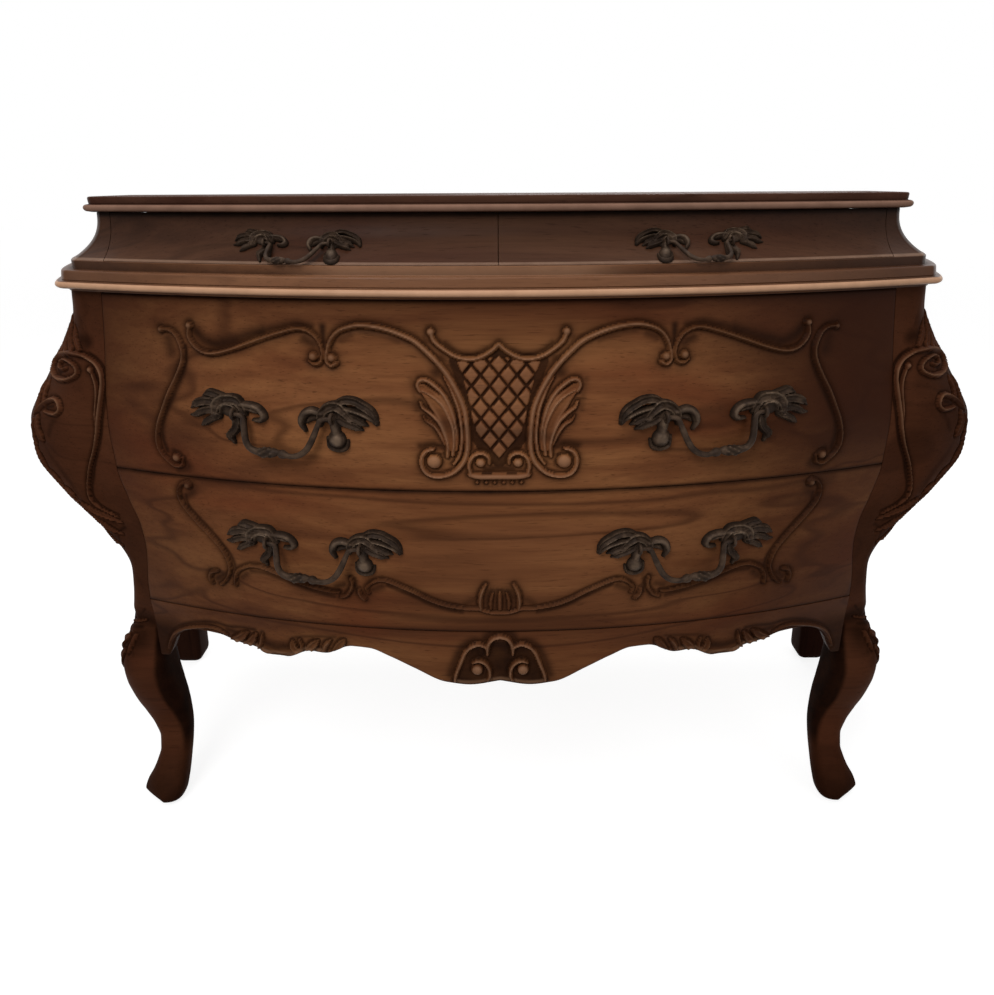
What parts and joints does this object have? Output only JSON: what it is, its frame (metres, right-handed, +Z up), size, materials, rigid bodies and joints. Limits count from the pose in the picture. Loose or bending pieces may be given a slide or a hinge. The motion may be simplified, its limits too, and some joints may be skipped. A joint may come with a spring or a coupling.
{
  "type": "bombe chest",
  "caption": "Bombe chest with a bowed, swollen front, kettle sides, cabriole front legs, a coved frieze and sliding drawers with bail handles.",
  "frame": {"origin": "on the floor under the middle of the chest's box", "axes": "+Z up, the drawers face -Y, +X to the right of someone facing the front"},
  "size_m": [1.308, 0.584, 0.85],
  "materials": {
    "walnut": "figured walnut, dark stain, satin shellac",
    "walnut_side": "walnut, darker stain, satin shellac",
    "drawer_wood": "plain oak, waxed",
    "bronze": "cast, antique bronze patina, rubbed on the high points"
  },
  "bodies": {
    "carcass": {"top_board": "walnut", "waist_board": "walnut", "frieze_end_left": "walnut", "frieze_end_right": "walnut", "frieze_back": "walnut_side", "frieze_divider": "walnut_side", "front_apron": "walnut", "front_leg_left": "walnut", "front_leg_right": "walnut", "side_panel_left": "walnut_side", "side_panel_right": "walnut_side", "side_rail_left": "walnut_side", "side_rail_right": "walnut_side", "rear_leg_left": "walnut_side", "rear_leg_right": "walnut_side", "back_panel": "walnut_side", "dust_board": "drawer_wood", "bottom_board": "drawer_wood", "upper_guide_left": "drawer_wood", "upper_guide_right": "drawer_wood", "lower_guide_left": "drawer_wood", "lower_guide_right": "drawer_wood"},
    "upper_drawer": {"upper_drawer_front": "walnut", "upper_drawer_side_left": "drawer_wood", "upper_drawer_side_right": "drawer_wood", "upper_drawer_back": "drawer_wood", "upper_drawer_bottom": "drawer_wood", "upper_handle_left_mount_left": "bronze", "upper_handle_left_mount_right": "bronze", "upper_handle_right_mount_left": "bronze", "upper_handle_right_mount_right": "bronze"},
    "lower_drawer": {"lower_drawer_front": "walnut", "lower_drawer_side_left": "drawer_wood", "lower_drawer_side_right": "drawer_wood", "lower_drawer_back": "drawer_wood", "lower_drawer_bottom": "drawer_wood", "lower_handle_left_mount_left": "bronze", "lower_handle_left_mount_right": "bronze", "lower_handle_right_mount_left": "bronze", "lower_handle_right_mount_right": "bronze"},
    "small_drawer_left": {"small_drawer_left_front": "walnut", "small_drawer_left_side_left": "drawer_wood", "small_drawer_left_side_right": "drawer_wood", "small_drawer_left_back": "drawer_wood", "small_drawer_left_bottom": "drawer_wood", "small_handle_left_mount_left": "bronze", "small_handle_left_mount_right": "bronze"},
    "small_drawer_right": {"small_drawer_right_front": "walnut", "small_drawer_right_side_left": "drawer_wood", "small_drawer_right_side_right": "drawer_wood", "small_drawer_right_back": "drawer_wood", "small_drawer_right_bottom": "drawer_wood", "small_handle_right_mount_left": "bronze", "small_handle_right_mount_right": "bronze"},
    "upper_bail_left": {"upper_handle_left_bail": "bronze"},
    "upper_bail_right": {"upper_handle_right_bail": "bronze"},
    "lower_bail_left": {"lower_handle_left_bail": "bronze"},
    "lower_bail_right": {"lower_handle_right_bail": "bronze"},
    "small_bail_left": {"small_handle_left_bail": "bronze"},
    "small_bail_right": {"small_handle_right_bail": "bronze"}
  },
  "joints": [
    {"name": "upper_drawer_slide", "type": "slide", "parent": "carcass", "child": "upper_drawer", "axis": [0, -1, 0], "range_m": [0, 0.36]},
    {"name": "lower_drawer_slide", "type": "slide", "parent": "carcass", "child": "lower_drawer", "axis": [0, -1, 0], "range_m": [0, 0.36]},
    {"name": "small_drawer_left_slide", "type": "slide", "parent": "carcass", "child": "small_drawer_left", "axis": [0, -1, 0], "range_m": [0, 0.33]},
    {"name": "small_drawer_right_slide", "type": "slide", "parent": "carcass", "child": "small_drawer_right", "axis": [0, -1, 0], "range_m": [0, 0.33]},
    {"name": "upper_bail_left_swing", "type": "hinge", "parent": "upper_drawer", "child": "upper_bail_left", "pos_m": [-0.243, -0.27237, 0.618], "axis": [-0.9789, 0.2044, 0], "range_deg": [-6, 95]},
    {"name": "upper_bail_right_swing", "type": "hinge", "parent": "upper_drawer", "child": "upper_bail_right", "pos_m": [0.243, -0.27237, 0.618], "axis": [-0.9789, -0.2044, 0], "range_deg": [-6, 95]},
    {"name": "lower_bail_left_swing", "type": "hinge", "parent": "lower_drawer", "child": "lower_bail_left", "pos_m": [-0.223, -0.26512, 0.457], "axis": [-0.9821, 0.1882, 0], "range_deg": [-6, 95]},
    {"name": "lower_bail_right_swing", "type": "hinge", "parent": "lower_drawer", "child": "lower_bail_right", "pos_m": [0.223, -0.26512, 0.457], "axis": [-0.9821, -0.1882, 0], "range_deg": [-6, 95]},
    {"name": "small_bail_left_swing", "type": "hinge", "parent": "small_drawer_left", "child": "small_bail_left", "pos_m": [-0.219, -0.23448, 0.802], "axis": [-0.9827, 0.185, 0], "range_deg": [0, 45]},
    {"name": "small_bail_right_swing", "type": "hinge", "parent": "small_drawer_right", "child": "small_bail_right", "pos_m": [0.219, -0.23448, 0.802], "axis": [-0.9827, -0.185, 0], "range_deg": [0, 45]}
  ]
}
